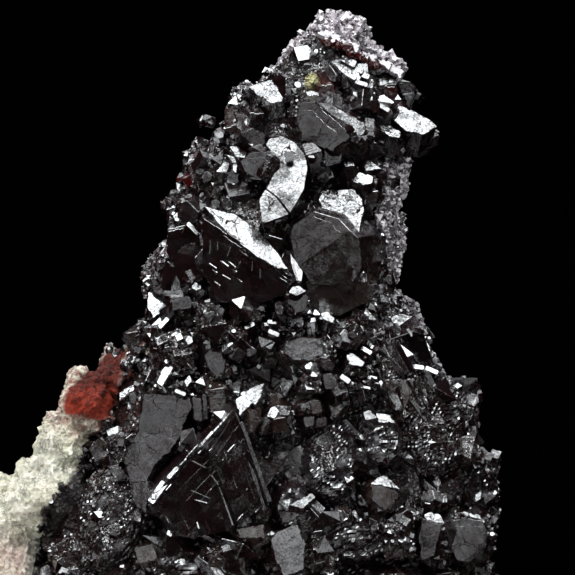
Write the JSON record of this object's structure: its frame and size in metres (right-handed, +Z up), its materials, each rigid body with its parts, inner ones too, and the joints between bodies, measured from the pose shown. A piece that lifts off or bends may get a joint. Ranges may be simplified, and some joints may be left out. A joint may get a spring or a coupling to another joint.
{
  "type": "cuprite specimen",
  "caption": "Upright mineral specimen: a spire of dark glossy cuprite crystals grown over pale host rock, standing on a flat base.",
  "frame": {"origin": "centre of the specimen's box on the plane that it rests on", "axes": "+Z up along the spire, its longest side; the crystals face -Y and the bare rock faces +Y"},
  "size_m": [0.061, 0.0366, 0.0724],
  "materials": {
    "host_rock": "pale cream and grey host rock, dry and granular, with a brick-red iron stain and silvery crystal rims",
    "cuprite": "near-black deep red cuprite, mirror-bright adamantine faces with fine growth lines",
    "malachite": "yellow-green malachite grain, slightly silky"
  },
  "bodies": {
    "root": {"matrix_rock": "host_rock", "cuprite_crystals": "cuprite", "malachite_grain": "malachite"}
  },
  "joints": []
}
